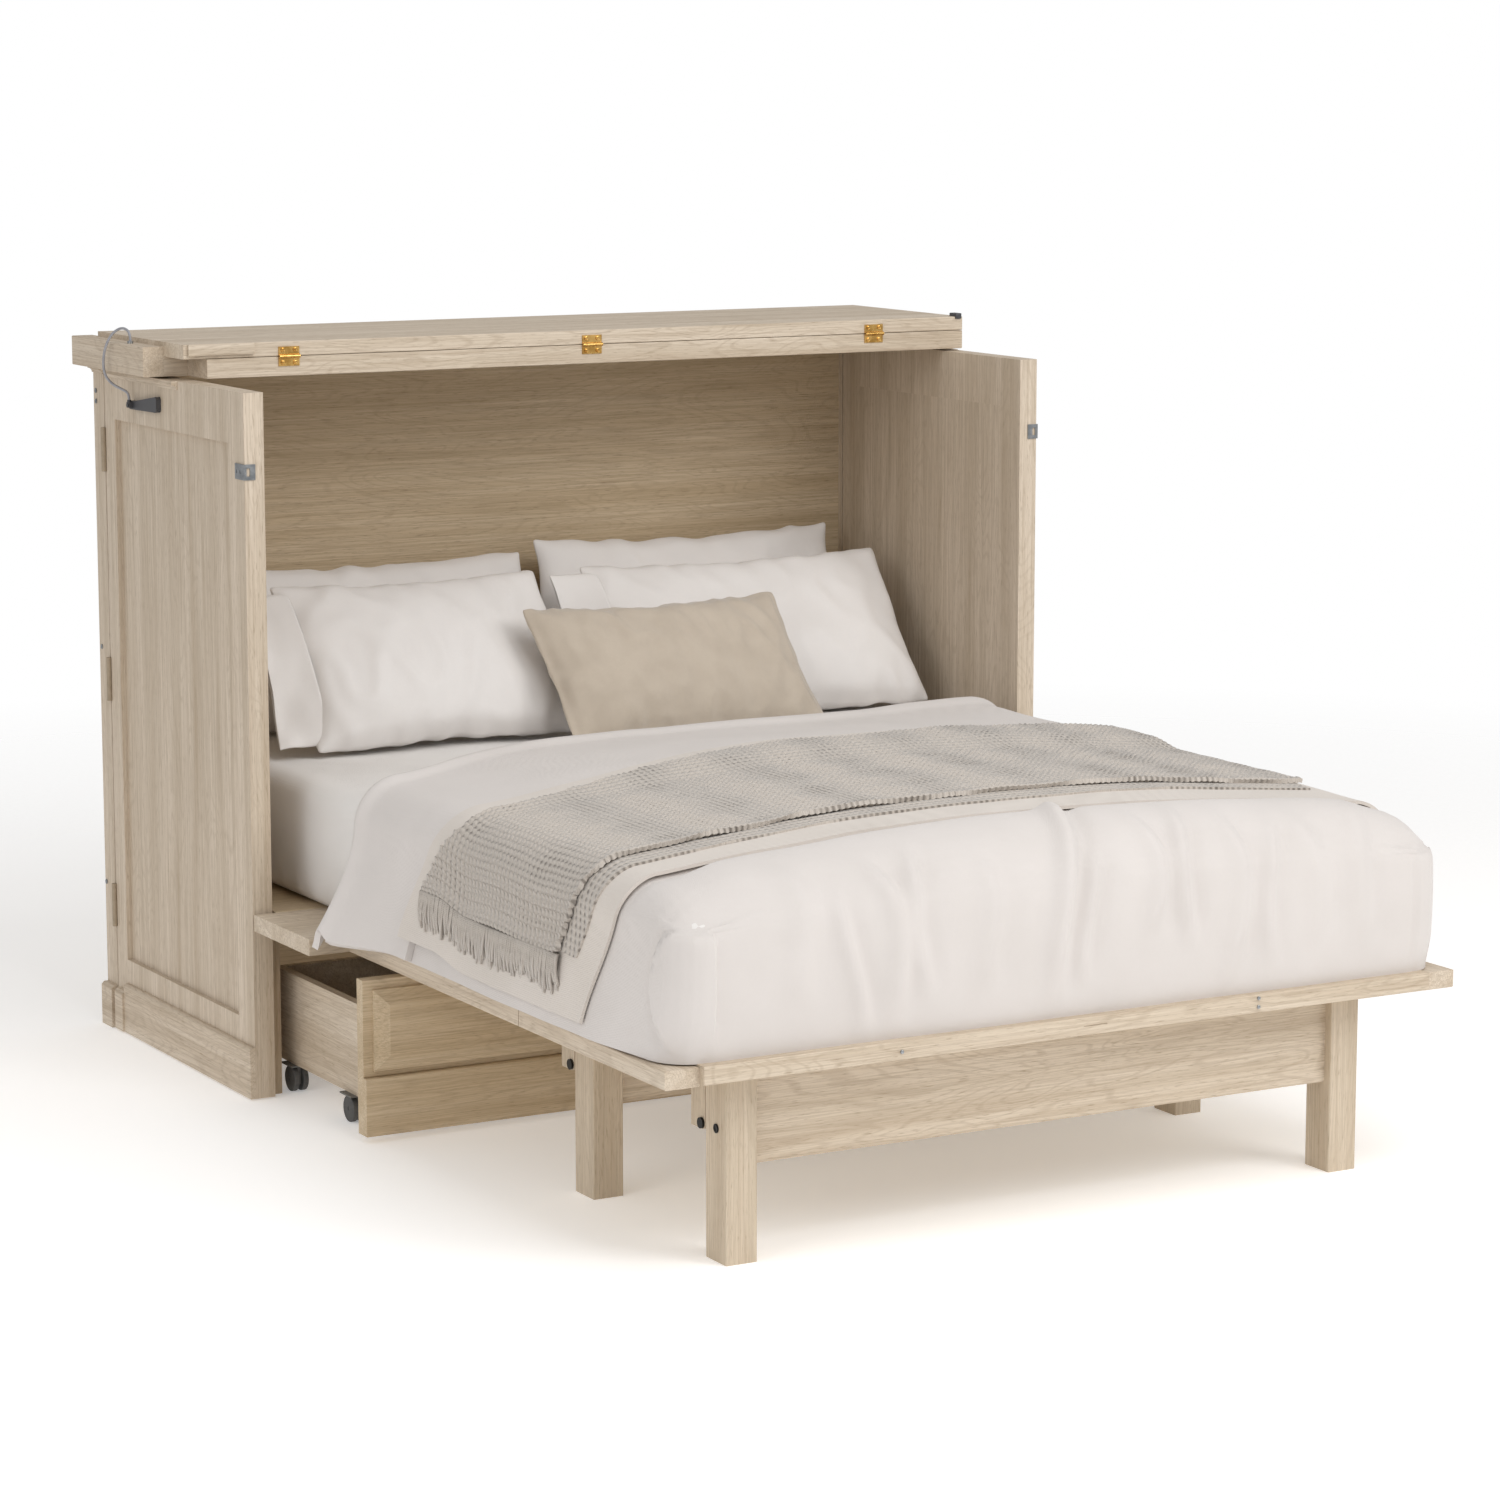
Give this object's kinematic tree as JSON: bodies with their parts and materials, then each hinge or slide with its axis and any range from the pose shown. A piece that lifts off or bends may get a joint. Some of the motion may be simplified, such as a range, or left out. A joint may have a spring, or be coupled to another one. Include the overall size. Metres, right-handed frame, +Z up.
{
  "type": "cabinet bed",
  "caption": "Free-standing chest cabinet that opens into a double bed: side doors, folding lid, fold-out platform on legs, rolling drawer and bedding.",
  "frame": {"origin": "on the floor under the middle of the whole opened object", "axes": "+Z up, +Y towards the back of the cabinet, -Y towards the foot of the bed, +X to the right seen from the foot"},
  "size_m": [1.5787, 1.946, 1.2254],
  "materials": {
    "cabinet_wood": "light oak-look grain, satin lacquer",
    "interior_wood": "light oak-look grain, satin",
    "platform_wood": "light oak-look grain, satin lacquer",
    "drawer_wood": "light oak-look grain, satin lacquer",
    "brass_hinge": "polished brass",
    "zinc_steel": "zinc-plated",
    "black_bolt": "black oxide",
    "caster_grey_plastic": "moulded",
    "caster_tread": "moulded",
    "cable_sheath": "sheathed cable",
    "tab_plastic": "moulded",
    "sheet_cotton": "smooth percale",
    "duvet_cotton": "soft washed cotton",
    "throw_knit": "chunky woven",
    "pillow_cotton": "soft washed cotton",
    "cushion_linen": "crushed velvet linen"
  },
  "bodies": {
    "cabinet": {"posts": "cabinet_wood", "post_base_blocks": "cabinet_wood", "back_panel": "interior_wood", "inner_side_panels": "interior_wood", "rear_platform": "platform_wood", "fixed_top": "cabinet_wood", "crown_mouldings": "cabinet_wood", "post_hinges": "zinc_steel", "lid_hinges_fixed": "brass_hinge", "cable": "cable_sheath", "cable_eyelet": "tab_plastic", "mattress_rear": "sheet_cotton"},
    "door_left": {"door_stiles_left": "cabinet_wood", "door_rails_left": "cabinet_wood", "door_panel_left": "cabinet_wood", "door_mouldings_left": "cabinet_wood", "door_hinges_left": "zinc_steel", "latch_plate_left": "zinc_steel", "cable_tab": "tab_plastic"},
    "door_right": {"door_stiles_right": "cabinet_wood", "door_rails_right": "cabinet_wood", "door_panel_right": "cabinet_wood", "door_mouldings_right": "cabinet_wood", "door_hinges_right": "zinc_steel", "latch_plate_right": "zinc_steel"},
    "lid": {"lid_flap": "cabinet_wood", "lid_hinges_moving": "brass_hinge"},
    "front_section": {"front_wide_board": "platform_wood", "front_side_boards": "platform_wood", "front_deck": "platform_wood", "middle_leg_brackets": "platform_wood", "middle_pivot_bolts": "black_bolt", "mattress_middle": "sheet_cotton", "duvet_middle": "duvet_cotton", "throw_middle": "throw_knit"},
    "foot_section": {"foot_side_boards": "platform_wood", "foot_deck": "platform_wood", "foot_rail_left": "platform_wood", "foot_rail_right": "platform_wood", "foot_leg_brackets": "platform_wood", "foot_pivot_bolts": "black_bolt", "mattress_foot": "sheet_cotton", "duvet_foot": "duvet_cotton", "throw_foot": "throw_knit"},
    "middle_leg_pair": {"middle_legs": "platform_wood", "middle_apron": "platform_wood"},
    "foot_leg_pair": {"foot_legs": "platform_wood", "foot_apron": "platform_wood"},
    "drawer": {"drawer_front": "drawer_wood", "drawer_raised_panel": "drawer_wood", "drawer_plinth": "drawer_wood", "drawer_box": "drawer_wood", "caster_mounts": "caster_grey_plastic"},
    "front_casters": {"caster_wheels_front": "caster_tread"},
    "rear_casters": {"caster_wheels_rear": "caster_tread"},
    "rear_pillow_left": {"pillow_rear_left": "pillow_cotton"},
    "rear_pillow_right": {"pillow_rear_right": "pillow_cotton"},
    "front_pillow_left": {"pillow_front_left": "pillow_cotton"},
    "front_pillow_right": {"pillow_front_right": "pillow_cotton"},
    "cushion": {"lumbar_cushion": "cushion_linen"}
  },
  "joints": [
    {"name": "door_left_swing", "type": "hinge", "parent": "cabinet", "child": "door_left", "pos_m": [-0.748, 0.9235, 0], "axis": [0, 0, -1], "range_deg": [0, 90], "deforming": ["cable"]},
    {"name": "door_right_swing", "type": "hinge", "parent": "cabinet", "child": "door_right", "pos_m": [0.748, 0.9235, 0], "axis": [0, 0, 1], "range_deg": [0, 90]},
    {"name": "lid_fold", "type": "hinge", "parent": "cabinet", "child": "lid", "pos_m": [0, 0.5575, 1.1824], "axis": [1, 0, 0], "range_deg": [0, 180]},
    {"name": "platform_fold", "type": "hinge", "parent": "cabinet", "child": "front_section", "pos_m": [0, 0.311, 0.308], "axis": [-1, 0, 0], "range_deg": [0, 90], "deforming": ["mattress_middle", "mattress_foot", "duvet_middle", "duvet_foot", "throw_middle", "throw_foot"]},
    {"name": "foot_fold", "type": "hinge", "parent": "front_section", "child": "foot_section", "pos_m": [0, -0.511, 0.31], "axis": [-1, 0, 0], "range_deg": [0, 180]},
    {"name": "middle_legs_fold", "type": "hinge", "parent": "front_section", "child": "middle_leg_pair", "pos_m": [0, -0.424, 0.192], "axis": [1, 0, 0], "range_deg": [0, 90]},
    {"name": "foot_legs_fold", "type": "hinge", "parent": "foot_section", "child": "foot_leg_pair", "pos_m": [0, -0.829, 0.192], "axis": [1, 0, 0], "range_deg": [0, 90]},
    {"name": "drawer_slide", "type": "slide", "parent": "cabinet", "child": "drawer", "axis": [0, -1, 0], "range_m": [-0.14, 0.3]},
    {"name": "front_casters_roll", "type": "hinge", "parent": "drawer", "child": "front_casters", "pos_m": [0, 0.115, 0.0215], "axis": [1, 0, 0], "range_deg": [-1000, 1000]},
    {"name": "rear_casters_roll", "type": "hinge", "parent": "drawer", "child": "rear_casters", "pos_m": [0, 0.349, 0.0215], "axis": [1, 0, 0], "range_deg": [-1000, 1000]},
    {"name": "rear_pillow_left_lift", "type": "slide", "parent": "cabinet", "child": "rear_pillow_left", "axis": [0, 0.08, 0.9968], "range_m": [0, 0.05]},
    {"name": "rear_pillow_right_lift", "type": "slide", "parent": "cabinet", "child": "rear_pillow_right", "axis": [0, 0.08, 0.9968], "range_m": [0, 0.05]},
    {"name": "front_pillow_left_lift", "type": "slide", "parent": "cabinet", "child": "front_pillow_left", "axis": [0, 0.5, 0.866], "range_m": [0, 0.03]},
    {"name": "front_pillow_right_lift", "type": "slide", "parent": "cabinet", "child": "front_pillow_right", "axis": [0, 0.5, 0.866], "range_m": [0, 0.03]},
    {"name": "cushion_lift", "type": "slide", "parent": "cabinet", "child": "cushion", "axis": [0, 0.5, 0.866], "range_m": [0, 0.03]}
  ],
  "couplings": [
    {"joint": "foot_fold", "follows": "platform_fold", "ratio": 2},
    {"joint": "middle_legs_fold", "follows": "platform_fold", "ratio": 1},
    {"joint": "foot_legs_fold", "follows": "platform_fold", "ratio": 1},
    {"joint": "front_casters_roll", "follows": "drawer_slide", "rad_per_m": 46.512},
    {"joint": "rear_casters_roll", "follows": "drawer_slide", "rad_per_m": 46.512}
  ]
}
